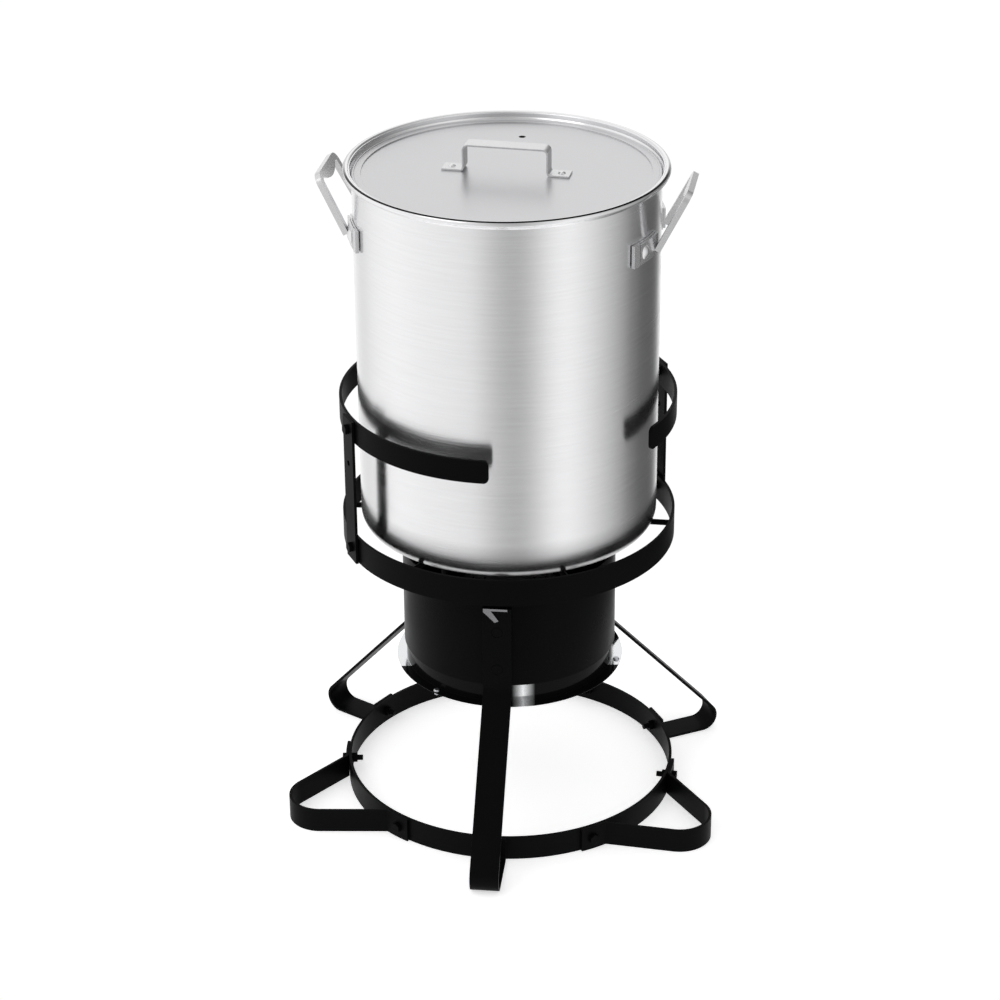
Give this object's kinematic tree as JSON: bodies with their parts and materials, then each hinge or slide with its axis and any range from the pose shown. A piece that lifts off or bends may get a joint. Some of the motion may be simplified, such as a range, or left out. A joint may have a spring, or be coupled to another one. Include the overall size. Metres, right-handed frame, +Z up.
{
  "type": "outdoor pot burner",
  "caption": "Propane burner on a black strap stand with wind screen and pot ring, carrying a tall aluminium stock pot with lid and side handles.",
  "frame": {"origin": "on the ground, on the vertical axis of the base ring, wind screen and pot", "axes": "+Z up through the pot, +X to the right and -Y towards the viewer of the picture"},
  "size_m": [0.4682, 0.4997, 0.7222],
  "materials": {
    "black_coat": "semi-gloss black powder coat",
    "bright_steel": "bright plated sheet",
    "zinc_steel": "zinc plated",
    "dark_steel": "heat darkened strap",
    "cast_iron": "as cast, sand textured",
    "plated_tube": "dull plated tube",
    "brass": "machined",
    "pot_aluminium": "brushed round the wall",
    "handle_aluminium": "pressed, softly polished",
    "lid_aluminium": "satin sheet",
    "rivet_aluminium": "polished heads"
  },
  "bodies": {
    "stand": {"base_ring": "black_coat", "front_leg": "black_coat", "right_leg": "black_coat", "left_leg": "black_coat", "left_outrigger": "black_coat", "right_outrigger": "black_coat", "rear_outrigger": "black_coat", "base_bolts": "black_coat", "base_nuts": "black_coat", "wind_screen": "black_coat", "leg_screws": "black_coat", "leg_nuts": "black_coat", "leg_clip": "zinc_steel", "heat_shield": "bright_steel", "shield_screws": "zinc_steel", "burner_bracket": "dark_steel", "burner_bowl": "cast_iron", "burner_cap": "cast_iron", "cap_screws": "zinc_steel", "burner_bolt": "zinc_steel", "mixer_tube": "plated_tube", "shutter_spring": "zinc_steel", "shutter_screw": "zinc_steel", "gas_spud": "brass", "pot_ring": "black_coat", "pot_rods": "black_coat", "retaining_ring": "black_coat", "left_upright": "black_coat", "right_upright": "black_coat", "back_upright": "black_coat", "upright_bolts": "black_coat", "upright_nuts": "black_coat"},
    "shutter": {"air_shutter": "zinc_steel"},
    "pot": {"pot_body": "pot_aluminium", "left_handle": "handle_aluminium", "right_handle": "handle_aluminium", "pot_brackets": "handle_aluminium", "handle_rivets": "rivet_aluminium"},
    "lid": {"lid": "lid_aluminium", "lid_handle": "handle_aluminium", "lid_rivets": "rivet_aluminium"}
  },
  "joints": [
    {"name": "pot_lift", "type": "slide", "parent": "stand", "child": "pot", "axis": [0, 0, 1], "range_m": [0, 0.25]},
    {"name": "lid_lift", "type": "slide", "parent": "pot", "child": "lid", "axis": [0, 0, 1], "range_m": [0, 0.15]},
    {"name": "air_shutter_turn", "type": "hinge", "parent": "stand", "child": "shutter", "pos_m": [0.01902, 0.16692, 0.206], "axis": [0.1132, 0.9936, 0], "range_deg": [0, 62]}
  ]
}
